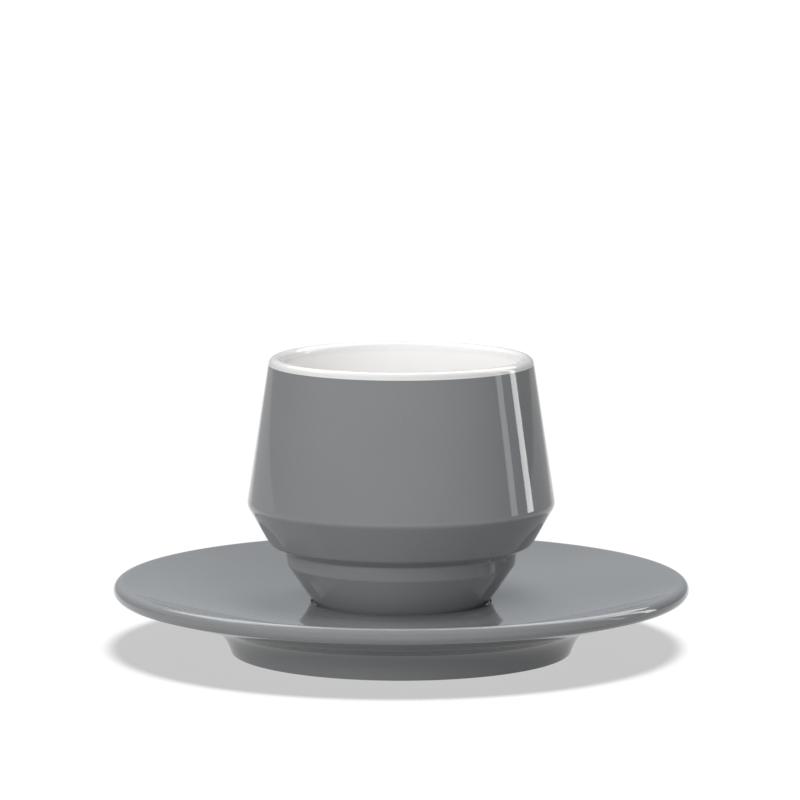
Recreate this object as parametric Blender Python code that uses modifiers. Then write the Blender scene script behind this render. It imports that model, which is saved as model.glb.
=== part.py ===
# Cortado cup and saucer: a handle-less two-tone porcelain cup that stands in the
# well of a wide porcelain saucer.
# Metres, +Z up. The origin is under the middle of the saucer, on the plane of its foot ring.

import math

import bmesh
import bpy
from mathutils import Vector

MM = 0.001

# Both pieces: facets of the turned shapes and the gap between touching pieces
TURN_STEPS = 60
ARC_TOLERANCE = 0.04 * MM
MERGE_DISTANCE = 0.00001
SEAT_GAP = 0.3 * MM

# Saucer, heights from the table
SAUCER_RADIUS = 72.5 * MM
RIM_EDGE_ROUND = 1.94 * MM
DISH_ANGLE = math.radians(18.4)
UNDERSIDE_ANGLE = math.radians(16.0)
RIM_TOP_CORNER = 18.85 * MM
RIM_LOWER_CORNER = 14.69 * MM
LAND_HEIGHT = 12.84 * MM
DISH_SWEEP = 100.0 * MM
WELL_RADIUS = 22.8 * MM
WELL_DEPTH = 1.2 * MM
WELL_DRAFT = 0.3 * MM
WELL_ROUND = 0.4 * MM
SAUCER_FOOT_RADIUS = 42.9 * MM
SAUCER_FOOT_TAPER = math.radians(20.4)
FOOT_FLARE = 11.1 * MM
SAUCER_RING_WIDTH = 3.6 * MM
BASE_CEILING = 7.4 * MM
BASE_RADIUS = 36.6 * MM
BASE_ROUND = 3.5 * MM

# Cup, heights from its own foot
CUP_HEIGHT = 62.7 * MM
LIP_OUTER_RADIUS = 33.1 * MM
LIP_INNER_RADIUS = 29.7 * MM
LIP_ROUND = 1.68 * MM
GLAZE_LINE = 61.05 * MM
SHOULDER_RADIUS = 38.8 * MM
SHOULDER_HEIGHT = 25.55 * MM
SHOULDER_ROUND = 3.2 * MM
STEP_RADIUS = 33.13 * MM
STEP_HEIGHT = 15.7 * MM
STEP_ROUND = 2.25 * MM
CREASE_RADIUS = 29.2 * MM
CREASE_HEIGHT = 13.9 * MM
CREASE_ROUND = 0.8 * MM
NECK_RADIUS = 28.75 * MM
NECK_HEIGHT = 10.3 * MM
NECK_ROUND = 1.5 * MM
CUP_FOOT_RADIUS = 21.6 * MM
CUP_RING_WIDTH = 3.2 * MM
CUP_RECESS_RADIUS = 16.6 * MM
CUP_RECESS_DEPTH = 2.2 * MM
INNER_SHOULDER_RADIUS = 34.7 * MM
INNER_SHOULDER_HEIGHT = 27.4 * MM
INNER_SHOULDER_ROUND = 9.0 * MM
FLOOR_RADIUS = 19.4 * MM
FLOOR_HEIGHT = 6.3 * MM
FLOOR_ROUND = 11.0 * MM

# Foot rings of both pieces, and how level a face is to count as a ring's sole
RING_EDGE_ROUND = 0.4 * MM
SOLE_LEVEL = 0.9

GREY_GLAZE = (0.190, 0.197, 0.202)
WHITE_GLAZE = (0.82, 0.82, 0.80)
BARE_PORCELAIN = (0.74, 0.72, 0.68)
GLAZE_ROUGHNESS = 0.08
BARE_ROUGHNESS = 0.75
SHARP_ANGLE = math.radians(50.0)


def clear_scene():
    for obj in list(bpy.data.objects):
        bpy.data.objects.remove(obj, do_unlink=True)


def make_finish(name, colour, roughness):
    finish = bpy.data.materials.new(name)
    finish.use_nodes = True
    shader = finish.node_tree.nodes["Principled BSDF"]
    shader.inputs["Base Color"].default_value = (*colour, 1.0)
    shader.inputs["Roughness"].default_value = roughness
    shader.inputs["Metallic"].default_value = 0.0
    finish.diffuse_color = (*colour, 1.0)
    return finish


# One rounded corner as points on an arc that is tangent to both of its straight sides
def corner_arc(before, corner, after, fillet):
    towards_before = (before - corner).normalized()
    towards_after = (after - corner).normalized()
    half_angle = towards_before.angle(towards_after) / 2
    start = corner + towards_before * (fillet / math.tan(half_angle))
    bisector = (towards_before + towards_after).normalized()
    centre = corner + bisector * (fillet / math.sin(half_angle))
    spoke = start - centre
    sweep = math.pi - 2 * half_angle
    if towards_before.x * towards_after.y > towards_before.y * towards_after.x:
        sweep = -sweep
    step = 2 * math.acos(1 - min(ARC_TOLERANCE / fillet, 0.2))
    count = max(2, math.ceil(abs(sweep) / step))
    points = []
    for index in range(count + 1):
        turn = sweep * index / count
        across = spoke.x * math.cos(turn) - spoke.y * math.sin(turn)
        along = spoke.x * math.sin(turn) + spoke.y * math.cos(turn)
        points.append(centre + Vector((across, along)))
    return points


# An outline from corners given as (radius, height, rounding), ends on the axis left sharp
def rounded_outline(corners):
    places = [Vector(corner[:2]) for corner in corners]
    outline = [places[0]]
    for index in range(1, len(corners) - 1):
        fillet = corners[index][2]
        arc = corner_arc(places[index - 1], places[index], places[index + 1], fillet)
        outline.extend(point for point in arc if (point - outline[-1]).length > MERGE_DISTANCE)
        outline[-1] = arc[-1]
    outline.append(places[-1])
    return outline


# A turned piece: the outline swept once around Z, then kept as a plain mesh
def turned_piece(name, outline, collection):
    profile = bpy.data.meshes.new(name + "_profile")
    edges = [(index, index + 1) for index in range(len(outline) - 1)]
    profile.from_pydata([(point.x, 0.0, point.y) for point in outline], edges, [])
    lathe = bpy.data.objects.new(name + "_lathe", profile)
    collection.objects.link(lathe)
    screw = lathe.modifiers.new("turn", "SCREW")
    screw.axis = "Z"
    screw.angle = 2 * math.pi
    screw.steps = TURN_STEPS
    screw.render_steps = TURN_STEPS
    screw.use_merge_vertices = True
    screw.merge_threshold = MERGE_DISTANCE
    bpy.context.view_layer.update()
    depsgraph = bpy.context.evaluated_depsgraph_get()
    mesh = bpy.data.meshes.new_from_object(lathe.evaluated_get(depsgraph))
    bpy.data.objects.remove(lathe, do_unlink=True)
    bpy.data.meshes.remove(profile)
    mesh.name = name
    close_poles(mesh)
    mesh.shade_smooth()
    mesh.set_sharp_from_angle(angle=SHARP_ANGLE)
    piece = bpy.data.objects.new(name, mesh)
    collection.objects.link(piece)
    return piece


# The rows of points on the axis become one point each
def close_poles(mesh):
    shell = bmesh.new()
    shell.from_mesh(mesh)
    bmesh.ops.remove_doubles(shell, verts=shell.verts, dist=MERGE_DISTANCE)
    bmesh.ops.dissolve_degenerate(shell, dist=MERGE_DISTANCE, edges=shell.edges)
    shell.to_mesh(mesh)
    shell.free()


# Finishes by place: finish_of(height, outward, upward) gives a slot number for each face
def lay_finishes(piece, finishes, finish_of):
    for finish in finishes:
        piece.data.materials.append(finish)
    for face in piece.data.polygons:
        outward = face.normal.x * face.center.x + face.normal.y * face.center.y
        face.material_index = finish_of(face.center.z, outward > 0, face.normal.z)


# The sole of a foot ring is wiped clean of glaze
def is_ring_sole(height, upward):
    return height < RING_EDGE_ROUND and upward < -SOLE_LEVEL


# Cup: cone to the shoulder, second cone, undercut step, short neck and a third cone to the foot
def make_cup(collection, white, grey, bare):
    ring_inner = CUP_FOOT_RADIUS - CUP_RING_WIDTH
    outline = rounded_outline([
        (0.0, FLOOR_HEIGHT),
        (FLOOR_RADIUS, FLOOR_HEIGHT, FLOOR_ROUND),
        (INNER_SHOULDER_RADIUS, INNER_SHOULDER_HEIGHT, INNER_SHOULDER_ROUND),
        (LIP_INNER_RADIUS, CUP_HEIGHT, LIP_ROUND),
        (LIP_OUTER_RADIUS, CUP_HEIGHT, LIP_ROUND),
        (SHOULDER_RADIUS, SHOULDER_HEIGHT, SHOULDER_ROUND),
        (STEP_RADIUS, STEP_HEIGHT, STEP_ROUND),
        (CREASE_RADIUS, CREASE_HEIGHT, CREASE_ROUND),
        (NECK_RADIUS, NECK_HEIGHT, NECK_ROUND),
        (CUP_FOOT_RADIUS, 0.0, RING_EDGE_ROUND),
        (ring_inner, 0.0, RING_EDGE_ROUND),
        (CUP_RECESS_RADIUS, CUP_RECESS_DEPTH, RING_EDGE_ROUND),
        (0.0, CUP_RECESS_DEPTH),
    ])
    cup = turned_piece("cup", outline, collection)

    def finish_of(height, outward, upward):
        if is_ring_sole(height, upward):
            return 2
        under_foot = height < FLOOR_HEIGHT and upward < 0
        outer_wall = outward and height < GLAZE_LINE
        return 1 if under_foot or outer_wall else 0

    lay_finishes(cup, [white, grey, bare], finish_of)
    return cup


# Saucer: well for the cup's foot, flat land, swept dish, round rim and a flared hollow foot
def make_saucer(collection, grey, bare):
    well_floor = LAND_HEIGHT - WELL_DEPTH
    dish_corner = SAUCER_RADIUS - (RIM_TOP_CORNER - LAND_HEIGHT) / math.tan(DISH_ANGLE)
    # The foot's taper and the slanted underside meet where both heights agree
    slope = math.tan(UNDERSIDE_ANGLE)
    taper = math.tan(SAUCER_FOOT_TAPER)
    flare_height = (RIM_LOWER_CORNER - (SAUCER_RADIUS - SAUCER_FOOT_RADIUS) * slope) / (1 - taper * slope)
    flare_radius = SAUCER_FOOT_RADIUS + flare_height * taper
    outline = rounded_outline([
        (0.0, well_floor),
        (WELL_RADIUS - WELL_DRAFT, well_floor, WELL_ROUND),
        (WELL_RADIUS, LAND_HEIGHT, WELL_ROUND),
        (dish_corner, LAND_HEIGHT, DISH_SWEEP),
        (SAUCER_RADIUS, RIM_TOP_CORNER, RIM_EDGE_ROUND),
        (SAUCER_RADIUS, RIM_LOWER_CORNER, RIM_EDGE_ROUND),
        (flare_radius, flare_height, FOOT_FLARE),
        (SAUCER_FOOT_RADIUS, 0.0, RING_EDGE_ROUND),
        (SAUCER_FOOT_RADIUS - SAUCER_RING_WIDTH, 0.0, RING_EDGE_ROUND),
        (BASE_RADIUS, BASE_CEILING, BASE_ROUND),
        (0.0, BASE_CEILING),
    ])
    saucer = turned_piece("saucer", outline, collection)

    def finish_of(height, _outward, upward):
        return 1 if is_ring_sole(height, upward) else 0

    lay_finishes(saucer, [grey, bare], finish_of)
    return saucer


def main():
    clear_scene()
    collection = bpy.data.collections.new("cortado_cup_and_saucer")
    bpy.context.scene.collection.children.link(collection)
    white = make_finish("white_glaze", WHITE_GLAZE, GLAZE_ROUGHNESS)
    grey = make_finish("grey_glaze", GREY_GLAZE, GLAZE_ROUGHNESS)
    bare = make_finish("bare_porcelain", BARE_PORCELAIN, BARE_ROUGHNESS)
    make_saucer(collection, grey, bare)
    cup = make_cup(collection, white, grey, bare)
    # The cup lifts straight up, so its origin is on the axis, at its foot in the well
    cup.location = (0.0, 0.0, LAND_HEIGHT - WELL_DEPTH + SEAT_GAP)


main()
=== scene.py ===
import math
import bpy
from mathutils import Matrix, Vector


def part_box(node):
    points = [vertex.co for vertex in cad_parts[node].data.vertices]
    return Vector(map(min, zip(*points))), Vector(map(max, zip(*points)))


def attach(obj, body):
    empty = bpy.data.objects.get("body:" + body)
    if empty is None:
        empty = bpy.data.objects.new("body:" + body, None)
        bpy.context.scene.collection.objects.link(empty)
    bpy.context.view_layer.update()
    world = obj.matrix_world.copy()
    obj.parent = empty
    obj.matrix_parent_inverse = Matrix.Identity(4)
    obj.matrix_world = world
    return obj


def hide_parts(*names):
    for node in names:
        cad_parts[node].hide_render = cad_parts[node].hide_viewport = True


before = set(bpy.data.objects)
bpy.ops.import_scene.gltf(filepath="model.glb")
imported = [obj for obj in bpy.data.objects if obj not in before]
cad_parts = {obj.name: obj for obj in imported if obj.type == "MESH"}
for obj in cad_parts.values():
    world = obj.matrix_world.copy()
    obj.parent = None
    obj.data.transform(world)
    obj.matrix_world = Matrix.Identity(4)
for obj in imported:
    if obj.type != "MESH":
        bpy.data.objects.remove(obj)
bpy.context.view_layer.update()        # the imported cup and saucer, metres, +Z up
scene = bpy.context.scene
scene.view_settings.view_transform = "Standard"
mm = 0.001
print("frame loaded:", ", ".join(sorted(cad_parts)))


# sRGB hex to the linear colour that shaders read, by the standard curve
def linear(code):
    levels = [int(code[i:i + 2], 16) / 255 for i in (1, 3, 5)]
    return [v / 12.92 if v <= 0.04045 else ((v + 0.055) / 1.055) ** 2.4 for v in levels] + [1.0]


# one node with its settings, values and links; a link is (node, output), and i0, i1 are sockets by number,
# such as i6 and i7 for the two colours of a Mix, whose mixed colour is output 2
def addNode(tree, kind, settings=None, **inputs):
    node = tree.nodes.new(kind)
    for key, value in (settings or {}).items():
        setattr(node, key, value)
    for key, value in inputs.items():
        numbered = key[0] == "i" and key[1:].isdigit()
        socket = node.inputs[int(key[1:]) if numbered else key.replace("_", " ")]
        if isinstance(value, tuple) and isinstance(value[0], bpy.types.Node):
            tree.links.new(value[0].outputs[value[1]], socket)
        else:
            socket.default_value = value
    return node


def newTree(name):
    material = bpy.data.materials.new(name)
    material.use_nodes = True
    material.node_tree.nodes.clear()
    return material, material.node_tree


pieces = []
turning = {
    "steps": 192,           # facets round the axis, too fine to see at this size
    "arcError": 0.004,      # mm between an arc and its chords
    "leastSegments": 6,     # along any rounded corner, for clean highlights
    "leastStep": 0.001,     # mm, points closer than this become one
}


# an arc that is tangent to both sides of a corner
def cornerArc(before, corner, after, rounding):
    toBefore = (before - corner).normalized()
    toAfter = (after - corner).normalized()
    half = toBefore.angle(toAfter) / 2
    centre = corner + (toBefore + toAfter).normalized() * (rounding / math.sin(half))
    spoke = corner + toBefore * (rounding / math.tan(half)) - centre
    sweep = math.pi - 2 * half
    chord = 2 * math.acos(1 - turning["arcError"] / rounding)    # widest turn of one chord
    count = max(turning["leastSegments"], math.ceil(sweep / chord))
    if toBefore.x * toAfter.y > toBefore.y * toAfter.x:
        sweep = -sweep
    arc = []
    for i in range(count + 1):
        turn = sweep * i / count
        arc.append(centre + Vector((spoke.x * math.cos(turn) - spoke.y * math.sin(turn),
                                    spoke.x * math.sin(turn) + spoke.y * math.cos(turn))))
    return arc


# corners are (radius, height, rounding) in mm; an open outline starts and ends on the axis
def roundedOutline(corners, closed=False):
    places = [Vector(c[:2]) for c in corners]
    last = len(corners) - 1
    outline = []
    for i, corner in enumerate(corners):
        if not closed and i in (0, last):
            outline.append(places[i])
            continue
        for point in cornerArc(places[i - 1], places[i], places[(i + 1) % len(places)], corner[2]):
            if not outline or (point - outline[-1]).length > turning["leastStep"]:
                outline.append(point)
    return outline


# a piece turned about Z from its outline, with its foot at height foot
def turnedPiece(name, outline, foot, material, body, closed=False):
    mesh = bpy.data.meshes.new(name)
    points = [(p.x * mm, 0, p.y * mm + foot) for p in outline]
    edges = [(i, i + 1) for i in range(len(points) - 1)]
    if closed:
        edges.append((len(points) - 1, 0))
    mesh.from_pydata(points, edges, [])
    mesh.materials.append(material)
    piece = bpy.data.objects.new(name, mesh)
    scene.collection.objects.link(piece)
    screw = piece.modifiers.new("turn", "SCREW")
    screw.steps = screw.render_steps = turning["steps"]
    screw.use_merge_vertices = True
    screw.merge_threshold = turning["leastStep"] * mm
    screw.use_smooth_shade = True
    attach(piece, body)
    pieces.append(piece)
    print("turned", name, len(points), "points")
    return piece


# glazed porcelain, grey: a feldspar glaze sprayed on and fired glassy, so a deep even grey under a
# sharp clear gloss, with a slow ripple where the glaze flowed and a dust of fine darker specks
greyGlaze = {
    "colour": "#868889",
    "thick": "#828486",        # where the glaze lies thicker
    "speck": "#6C6E71",
    "cloud": 18.0,             # mm, drift of thickness
    "speckSize": 0.35,         # mm
    "ripple": 3.2,             # mm, orange peel
    "rippleHeight": 0.0004,    # mm
    "roughness": 0.05,
    "ior": 1.42,
}

# glazed porcelain, white: clear glaze over the white body, so a bright milky white with the same gloss
whiteGlaze = {
    "colour": "#F8F7F6",
    "thick": "#F5F4F3",
    "speck": "#DFDDD8",
    "cloud": 22.0,
    "speckSize": 0.3,
    "ripple": 3.6,
    "rippleHeight": 0.0004,
    "roughness": 0.05,
    "ior": 1.45,
    "lipShade": "#DBDAD8",                      # painted shade: a greyer tone that darkens the lip against the light it gets from above
    "lipShadeFrom": 72.0, "lipShadeTo": 73.6,        # mm above the table, where that tone begins and is full
    "lipInner": 30.9, "lipOuter": 32.0,    # mm from the axis, the lip's inner and outer side
    "lipShadeShare": 0.6,                       # of that tone on the inner side
}

# what both glazes share
firing = {
    "cloudDetail": 2.0, "fineDetail": 1.0,    # octaves of noise
    "speckFrom": 0.68, "speckTo": 0.8,        # noise levels where a speck begins and is full
    "speckDepth": 0.5,                        # share of the speck's colour that shows through the glaze
    "glossLeast": 0.8, "glossMost": 1.2,      # of the roughness, as the thickness drifts
}


# painted shade: the greyer tone of the lip, laid over the glaze's colour
def addPaintedLipShade(tree, place, colour, look):
    axes = addNode(tree, "ShaderNodeSeparateXYZ", Vector=(place, "Object"))
    high = addNode(tree, "ShaderNodeMapRange", Value=(axes, "Z"),
                   From_Min=look["lipShadeFrom"] * mm, From_Max=look["lipShadeTo"] * mm)
    flat = addNode(tree, "ShaderNodeCombineXYZ", X=(axes, "X"), Y=(axes, "Y"))
    away = addNode(tree, "ShaderNodeVectorMath", {"operation": "LENGTH"}, i0=(flat, "Vector"))
    outer = addNode(tree, "ShaderNodeMapRange", Value=(away, "Value"), To_Min=look["lipShadeShare"],
                    From_Min=look["lipInner"] * mm, From_Max=look["lipOuter"] * mm)
    # how much painted shade: full over the lip's top, less on its inner side
    paintedShade = addNode(tree, "ShaderNodeMath", {"operation": "MULTIPLY"},
                   i0=(high, "Result"), i1=(outer, "Result"))
    return addNode(tree, "ShaderNodeMix", {"data_type": "RGBA"}, Factor=(paintedShade, 0),
                   i6=(colour, 2), i7=linear(look["lipShade"]))


def makeGlaze(name, look):
    material, tree = newTree(name)
    place = addNode(tree, "ShaderNodeTexCoord")
    cloud = addNode(tree, "ShaderNodeTexNoise", Vector=(place, "Object"),
                    Scale=1 / (look["cloud"] * mm), Detail=firing["cloudDetail"])
    drift = addNode(tree, "ShaderNodeMix", {"data_type": "RGBA"}, Factor=(cloud, "Fac"),
                    i6=linear(look["colour"]), i7=linear(look["thick"]))
    grain = addNode(tree, "ShaderNodeTexNoise", Vector=(place, "Object"),
                    Scale=1 / (look["speckSize"] * mm), Detail=firing["fineDetail"])
    dots = addNode(tree, "ShaderNodeMapRange", Value=(grain, "Fac"), To_Max=firing["speckDepth"],
                   From_Min=firing["speckFrom"], From_Max=firing["speckTo"])
    colour = addNode(tree, "ShaderNodeMix", {"data_type": "RGBA"}, Factor=(dots, "Result"),
                     i6=(drift, 2), i7=linear(look["speck"]))
    # painted shade on the lip
    if "lipShade" in look:
        colour = addPaintedLipShade(tree, place, colour, look)
    peel = addNode(tree, "ShaderNodeTexNoise", Vector=(place, "Object"),
                   Scale=1 / (look["ripple"] * mm), Detail=firing["fineDetail"])
    relief = addNode(tree, "ShaderNodeBump", Height=(peel, "Fac"), Distance=look["rippleHeight"] * mm)
    gloss = addNode(tree, "ShaderNodeMapRange", Value=(cloud, "Fac"),
                    To_Min=look["roughness"] * firing["glossLeast"],
                    To_Max=look["roughness"] * firing["glossMost"])
    shader = addNode(tree, "ShaderNodeBsdfPrincipled", Base_Color=(colour, 2),
                     Roughness=(gloss, "Result"), IOR=look["ior"], Normal=(relief, "Normal"))
    addNode(tree, "ShaderNodeOutputMaterial", Surface=(shader, "BSDF"))
    return material


# bare porcelain: the sole of a foot ring, wiped clean of glaze before firing, so a dry matt off-white
# with a fine sandy tooth and faint grey rubbing
bareSole = {
    "colour": "#DCD8D0",
    "rubbed": "#C3C0BA",
    "grit": 0.25,                     # mm, drawn coarser than the real tooth so that it shows
    "gritHeight": 0.012,              # mm
    "patch": 6.0,                     # mm, size of the rubbed spots
    "gritDetail": 3.0, "patchDetail": 4.0,    # octaves of noise
    "rubFrom": 0.45, "rubTo": 0.7,    # noise levels where the rubbing begins and is full
    "roughness": 0.78,
    "ior": 1.5,
}


def makeBareSole(look):
    material, tree = newTree("barePorcelain")
    place = addNode(tree, "ShaderNodeTexCoord")
    patch = addNode(tree, "ShaderNodeTexNoise", Vector=(place, "Object"),
                    Scale=1 / (look["patch"] * mm), Detail=look["patchDetail"])
    worn = addNode(tree, "ShaderNodeMapRange", Value=(patch, "Fac"),
                   From_Min=look["rubFrom"], From_Max=look["rubTo"])
    colour = addNode(tree, "ShaderNodeMix", {"data_type": "RGBA"}, Factor=(worn, "Result"),
                     i6=linear(look["colour"]), i7=linear(look["rubbed"]))
    grit = addNode(tree, "ShaderNodeTexNoise", Vector=(place, "Object"),
                   Scale=1 / (look["grit"] * mm), Detail=look["gritDetail"])
    tooth = addNode(tree, "ShaderNodeBump", Height=(grit, "Fac"), Distance=look["gritHeight"] * mm)
    shader = addNode(tree, "ShaderNodeBsdfPrincipled", Base_Color=(colour, 2),
                     Roughness=look["roughness"], IOR=look["ior"], Normal=(tooth, "Normal"))
    addNode(tree, "ShaderNodeOutputMaterial", Surface=(shader, "BSDF"))
    return material


greyCoat = makeGlaze("greyGlazedPorcelain", greyGlaze)
whiteCoat = makeGlaze("whiteGlazedPorcelain", whiteGlaze)
bareRing = makeBareSole(bareSole)
print("materials made")


# the bare sole of cup or saucer, which shows under the glaze's edge and is set back from it a little
def soleOutline(inner, outer, s):
    setBack = s["soleSetBack"]
    rise = s["soleRise"]
    return roundedOutline([
        (outer - setBack, rise, s["glazeEdge"]),
        (outer - setBack, 0, s["ringRound"]),
        (inner + setBack, 0, s["ringRound"]),
        (inner + setBack, rise, s["glazeEdge"]),
    ], closed=True)


# saucer, mm and degrees, heights from the table
saucer = {
    "radius": 72.5,
    "rimTop": 18.85, "rimLower": 14.69, "rimRound": 1.94,    # corners before rounding
    "dishAngle": 18.4, "dishSweep": 100.0,
    "landHeight": 12.84,
    "wellRadius": 22.8, "wellDepth": 1.2, "wellDraft": 0.3, "wellRound": 0.4,
    "undersideAngle": 16.0,
    "footRadius": 42.9, "footTaper": 20.4, "flare": 11.1,
    "ringWidth": 3.6, "ringRound": 0.4,
    "ceiling": 7.4, "ceilingRadius": 36.6, "ceilingRound": 3.5,
    "glazeStop": 0.15, "glazeEdge": 0.1,    # height and rounding of the glaze's edge at the sole
    "soleSetBack": 0.7, "soleRise": 0.9,    # bare sole, behind that edge and up into the body
}


def makeSaucer(s):
    wellFloor = s["landHeight"] - s["wellDepth"]
    dishCorner = s["radius"] - (s["rimTop"] - s["landHeight"]) / math.tan(math.radians(s["dishAngle"]))
    slope = math.tan(math.radians(s["undersideAngle"]))
    taper = math.tan(math.radians(s["footTaper"]))
    flareHeight = (s["rimLower"] - (s["radius"] - s["footRadius"]) * slope) / (1 - taper * slope)
    ringInner = s["footRadius"] - s["ringWidth"]
    stop = s["glazeStop"]
    inward = (s["ceilingRadius"] - ringInner) / s["ceiling"]    # lean of the ring's inner side
    outline = roundedOutline([
        (0, wellFloor),
        (s["wellRadius"] - s["wellDraft"], wellFloor, s["wellRound"]),
        (s["wellRadius"], s["landHeight"], s["wellRound"]),
        (dishCorner, s["landHeight"], s["dishSweep"]),
        (s["radius"], s["rimTop"], s["rimRound"]),
        (s["radius"], s["rimLower"], s["rimRound"]),
        (s["footRadius"] + flareHeight * taper, flareHeight, s["flare"]),
        (s["footRadius"] + stop * taper, stop, s["glazeEdge"]),
        (ringInner + stop * inward, stop, s["glazeEdge"]),
        (s["ceilingRadius"], s["ceiling"], s["ceilingRound"]),
        (0, s["ceiling"]),
    ])
    piece = turnedPiece("saucer_body", outline, 0, greyCoat, "saucer")
    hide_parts("saucer")
    sole = soleOutline(ringInner, s["footRadius"], s)
    ring = turnedPiece("saucer_foot_ring", sole, 0, bareRing, "saucer", closed=True)


# cup, mm, heights from its own foot; a corner is (radius, height, rounding)
cup = {
    "height": 62.7,
    "lipOuter": 33.1, "lipInner": 29.7, "lipRound": 1.68,
    "glazeLine": 61.04,                      # the grey glaze ends here below the lip
    "shoulder": (38.8, 25.55, 3.2),
    "step": (33.13, 15.7, 2.25),
    "crease": (29.2, 13.9, 0.8),
    "neck": (28.75, 10.3, 1.5),
    "footRadius": 21.6, "ringWidth": 3.2, "ringRound": 0.4,
    "recessRadius": 16.6, "recessDepth": 2.2,
    "innerShoulder": (34.7, 27.4, 9.0),
    "floor": (19.4, 6.3, 11.0),
    "coat": 0.3,                             # grey glaze with its slip
    "coatEdge": 0.12,                        # its rounded top edge
    "glazeStop": 0.45, "glazeEdge": 0.18,    # height and rounding of its lower edge at the sole
    "soleSetBack": 0.18, "soleRise": 0.9,    # bare sole, behind that edge and up into the body
}


def makeCup(c):
    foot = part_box("cup")[0][2]
    ringInner = c["footRadius"] - c["ringWidth"]
    walls = [c["shoulder"], c["step"], c["crease"], c["neck"]]
    stop = c["glazeStop"]
    edge = c["glazeEdge"]
    depth = c["coat"]

    # white body: inside, lip and a core that ends within the grey coat
    under = depth / 2
    coreFoot = stop * 2
    body = roundedOutline([
        (0, c["floor"][1]),
        c["floor"],
        c["innerShoulder"],
        (c["lipInner"], c["height"], c["lipRound"]),
        (c["lipOuter"], c["height"], c["lipRound"]),
        *[(r - under, h, rounding) for r, h, rounding in walls],
        (c["footRadius"], coreFoot, edge),
        (ringInner, coreFoot, edge),
        (c["recessRadius"], c["recessDepth"] + under, edge),
        (0, c["recessDepth"] + under),
    ])
    piece = turnedPiece("cup_body", body, foot, whiteCoat, "cup")
    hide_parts("cup")

    # grey coat: a closed skin from the glaze line down the outside and across the recess under the foot
    coneLean = (c["shoulder"][0] - c["lipOuter"]) / (c["height"] - c["shoulder"][1])
    lineRadius = c["lipOuter"] + (c["height"] - c["glazeLine"]) * coneLean
    flank = (c["neck"][0] - c["footRadius"]) / c["neck"][1]
    recessLean = (c["recessRadius"] - ringInner) / c["recessDepth"]
    footDepth = depth * 2    # thicker over the foot ring
    hiddenSide = [
        (0, c["recessDepth"] + depth),
        (c["recessRadius"] + depth, c["recessDepth"] + depth, edge),
        (ringInner + footDepth, stop + footDepth, edge),
        (c["footRadius"] - depth, stop + footDepth, edge),
        *[(r - depth, h, rounding) for r, h, rounding in reversed(walls)],
        (lineRadius - depth, c["glazeLine"], c["coatEdge"]),
    ]
    shownSide = [
        (lineRadius, c["glazeLine"], c["coatEdge"]),
        *walls,
        (c["footRadius"] + stop * flank, stop, edge),
        (ringInner + stop * recessLean, stop, edge),
        (c["recessRadius"], c["recessDepth"], c["ringRound"]),
        (0, c["recessDepth"]),
    ]
    piece = turnedPiece("cup_outer_glaze", roundedOutline(hiddenSide + shownSide), foot, greyCoat, "cup")
    sole = soleOutline(ringInner, c["footRadius"], c)
    ring = turnedPiece("cup_foot_ring", sole, foot, bareRing, "cup", closed=True)


makeSaucer(saucer)
makeCup(cup)

# camera at the photograph's height and angle, mm and degrees
view = {"x": -0.30, "distance": 1292.2, "height": 236.5, "pitch": 7.6165, "lens": 233.6, "sensor": 36.0}
lens = bpy.data.cameras.new("camera")
lens.lens = view["lens"]
lens.sensor_width = view["sensor"]
camera = bpy.data.objects.new("camera", lens)
camera.location = (view["x"] * mm, -view["distance"] * mm, view["height"] * mm)
camera.rotation_euler = (math.radians(90 - view["pitch"]), 0, 0)
scene.collection.objects.link(camera)
scene.camera = camera
print("camera set")

# white paper, pressed matt: a sweep as wide as the view, on a pale grey studio floor; the paper's own
# white carries most of the level, so the shadow of the saucer stays pale and even
floorLook = {
    "size": 30.0,                   # metres
    "white": 0.56, "grey": 0.12,    # own light of the paper and of the floor beside it
    "tint": "#595959",              # what the lamp lights
    "bounce": 0.28,                 # share of all this that lights the part from below
    "halfWidth": 0.13,              # metres, of the paper at the part
    "spread": 0.085,                # growth of that per metre towards the back
    "fade": 0.12,                   # metres, soft edge of the paper
    "fibre": 1.5,                   # mm
    "fibreHeight": 0.01,            # mm
    "fibreStrength": 0.1,
    "fibreDetail": 2.0,             # octaves of noise
}


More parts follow.
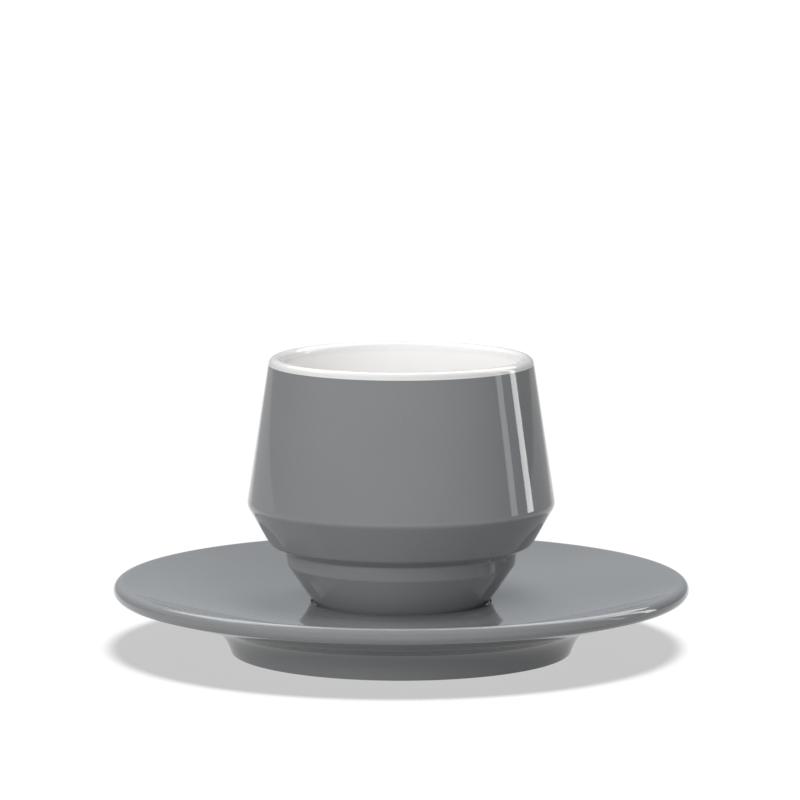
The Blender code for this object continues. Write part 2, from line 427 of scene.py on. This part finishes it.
def makeFloor(look):
    material, tree = newTree("whitePaper")
    place = addNode(tree, "ShaderNodeTexCoord")
    axes = addNode(tree, "ShaderNodeSeparateXYZ", Vector=(place, "Object"))
    aside = addNode(tree, "ShaderNodeMath", {"operation": "ABSOLUTE"}, i0=(axes, "X"))
    limit = addNode(tree, "ShaderNodeMath", {"operation": "MULTIPLY_ADD"},
                    i0=(axes, "Y"), i1=look["spread"], i2=look["halfWidth"])
    beyond = addNode(tree, "ShaderNodeMath", {"operation": "SUBTRACT"}, i0=(aside, 0), i1=(limit, 0))
    level = addNode(tree, "ShaderNodeMapRange", {"interpolation_type": "SMOOTHSTEP"}, Value=(beyond, 0),
                    From_Max=look["fade"], To_Min=look["white"], To_Max=look["grey"])
    fibre = addNode(tree, "ShaderNodeTexNoise", Vector=(place, "Object"),
                    Scale=1 / (look["fibre"] * mm), Detail=look["fibreDetail"])
    tooth = addNode(tree, "ShaderNodeBump", Height=(fibre, "Fac"),
                    Strength=look["fibreStrength"], Distance=look["fibreHeight"] * mm)
    lit = addNode(tree, "ShaderNodeBsdfDiffuse", Color=linear(look["tint"]), Normal=(tooth, "Normal"))
    glow = addNode(tree, "ShaderNodeEmission", Strength=(level, "Result"))
    whole = addNode(tree, "ShaderNodeAddShader", i0=(lit, "BSDF"), i1=(glow, "Emission"))
    # seen and mirrored in full, dimmer as a light on the part
    path = addNode(tree, "ShaderNodeLightPath")
    mirrored = addNode(tree, "ShaderNodeMath", {"operation": "MAXIMUM"},
                       i0=(path, "Is Camera Ray"), i1=(path, "Is Glossy Ray"))
    seen = addNode(tree, "ShaderNodeMath", {"operation": "MAXIMUM"},
                   i0=(mirrored, 0), i1=(path, "Is Transmission Ray"))
    share = addNode(tree, "ShaderNodeMapRange", Value=(seen, 0), To_Min=look["bounce"])
    mix = addNode(tree, "ShaderNodeMixShader", i0=(share, "Result"), i2=(whole, "Shader"))
    addNode(tree, "ShaderNodeOutputMaterial", Surface=(mix, "Shader"))
    half = look["size"] / 2
    corners = [(-half, -half, 0), (half, -half, 0), (half, half, 0), (-half, half, 0)]
    mesh = bpy.data.meshes.new("floor")
    mesh.from_pydata(corners, [], [(0, 1, 2, 3)])
    mesh.materials.append(material)
    floor = bpy.data.objects.new("floor", mesh)
    scene.collection.objects.link(floor)
    print("floor laid")
    return floor


floor = makeFloor(floorLook)

# studio: azimuths are degrees from the camera's side towards the right, elevations from the floor
studio = {
    "room": {          # levels of walls, backdrop, its upper part and ceiling
        "tint": "#F4F9FF",
        "sides": 0.015, "back": 0.49, "rise": 2.0, "top": 0.05,
    },
    "reach": 2.0,      # metres to the boxes
    "boxes": {         # soft light on the part, degrees wide and tall, kept out of its reflections
        "frontBox": {"azimuth": -24, "elevation": 17, "wide": 98, "tall": 34, "level": 2.7},
        "leftBox": {"azimuth": -108, "elevation": 32, "wide": 28, "tall": 24, "level": 4.8},
        "rightBox": {"azimuth": 37, "elevation": 66, "wide": 28, "tall": 40, "level": 4.95},
        "backBox": {"azimuth": 180, "elevation": 60, "wide": 28, "tall": 24, "level": 2.6},
    },
    # screens close to the part that only show as its reflections, mm
    "overhead": {"height": 350, "left": -295, "right": 450, "front": 27, "back": 400, "level": 3.8},
    "low": 28,         # the standing screens reach from here up to the overhead one
    "screens": {       # from right to right behind, tint white if not given
        "dimScreen": {"azimuth": 90.2, "away": 470, "wide": 54, "level": 2.6},
        "blueScreen": {"azimuth": 99.5, "away": 460, "wide": 80, "level": 0.44, "tint": "#8CC3DA"},
        "brightScreen": {"azimuth": 108.7, "away": 430, "wide": 58, "level": 6.6},
    },
    # a distant lamp that lights the floor alone and so draws the shadow on it
    "floorLamp": {"azimuth": 15, "elevation": 70, "spread": 16, "level": 4.3},
}


def direction(azimuth, elevation):
    turn = math.radians(azimuth)
    rise = math.radians(elevation)
    return Vector((math.sin(turn) * math.cos(rise), -math.cos(turn) * math.cos(rise), math.sin(rise)))


# a dim room with a white backdrop behind the part and a paler ceiling
def makeRoom(s):
    world = bpy.data.worlds.new("studio")
    world.use_nodes = True
    scene.world = world
    tree = world.node_tree
    tree.nodes.clear()
    place = addNode(tree, "ShaderNodeTexCoord")
    axes = addNode(tree, "ShaderNodeSeparateXYZ", Vector=(place, "Generated"))
    behind = addNode(tree, "ShaderNodeMath", {"operation": "MAXIMUM"}, i0=(axes, "Y"), i1=0.0)
    deep = addNode(tree, "ShaderNodeMath", {"operation": "MULTIPLY"}, i0=(behind, 0), i1=(behind, 0))
    high = addNode(tree, "ShaderNodeMath", {"operation": "MULTIPLY"}, i0=(axes, "Z"), i1=(axes, "Z"))
    backdrop = addNode(tree, "ShaderNodeMath", {"operation": "MULTIPLY_ADD"},
                       i0=(high, 0), i1=s["rise"], i2=s["back"])
    ceiling = addNode(tree, "ShaderNodeMath", {"operation": "MULTIPLY_ADD"},
                      i0=(high, 0), i1=s["top"], i2=s["sides"])
    level = addNode(tree, "ShaderNodeMath", {"operation": "MULTIPLY_ADD"},
                    i0=(deep, 0), i1=(backdrop, 0), i2=(ceiling, 0))
    back = addNode(tree, "ShaderNodeBackground", Color=linear(s["tint"]), Strength=(level, 0))
    addNode(tree, "ShaderNodeOutputWorld", Surface=(back, "Background"))


# a lamp that shines on some objects only
def placeLamp(name, lamp, place, towards, lit):
    thing = bpy.data.objects.new(name, lamp)
    thing.location = place
    thing.rotation_euler = towards.to_track_quat("Z", "Y").to_euler()
    thing.visible_camera = False
    group = bpy.data.collections.new(name)
    for target in lit:
        group.objects.link(target)
    thing.light_linking.receiver_collection = group
    scene.collection.objects.link(thing)
    return thing


# a lit rectangle; its level is the brightness of its face
def makePanel(name, s, place, towards, wide, tall):
    lamp = bpy.data.lights.new(name, "AREA")
    lamp.shape = "RECTANGLE"
    lamp.size = wide
    lamp.size_y = tall
    lamp.energy = s["level"] * math.pi * wide * tall
    lamp.color = linear(s.get("tint", "#FFFFFF"))[:3]
    return placeLamp(name, lamp, place, towards, pieces)


def makeBox(name, s, reach):
    towards = direction(s["azimuth"], s["elevation"])
    wide, tall = (2 * reach * math.tan(math.radians(s[side] / 2)) for side in ("wide", "tall"))
    box = makePanel(name, s, towards * reach, towards, wide, tall)
    box.visible_glossy = False


def makeScreen(name, s, low, high):
    towards = direction(s["azimuth"], 0)
    place = towards * s["away"] + Vector((0, 0, (low + high) / 2))
    screen = makePanel(name, s, place * mm, towards, s["wide"] * mm, (high - low) * mm)
    screen.visible_diffuse = False


def makeOverhead(s):
    place = Vector(((s["left"] + s["right"]) / 2, (s["front"] + s["back"]) / 2, s["height"]))
    up = Vector((0, 0, 1))
    wide = (s["right"] - s["left"]) * mm
    deep = (s["back"] - s["front"]) * mm
    screen = makePanel("overhead", s, place * mm, up, wide, deep)
    screen.visible_diffuse = False


def makeFloorLamp(s):
    lamp = bpy.data.lights.new("floorLamp", "SUN")
    lamp.angle = math.radians(s["spread"])
    towards = direction(s["azimuth"], s["elevation"])
    lamp.energy = s["level"] * math.pi / towards.z
    placeLamp("floorLamp", lamp, towards, towards, [floor])


makeRoom(studio["room"])
for name, box in studio["boxes"].items():
    makeBox(name, box, studio["reach"])
for name, screen in studio["screens"].items():
    makeScreen(name, screen, studio["low"], studio["overhead"]["height"])
makeOverhead(studio["overhead"])
makeFloorLamp(studio["floorLamp"])
print("lights set")
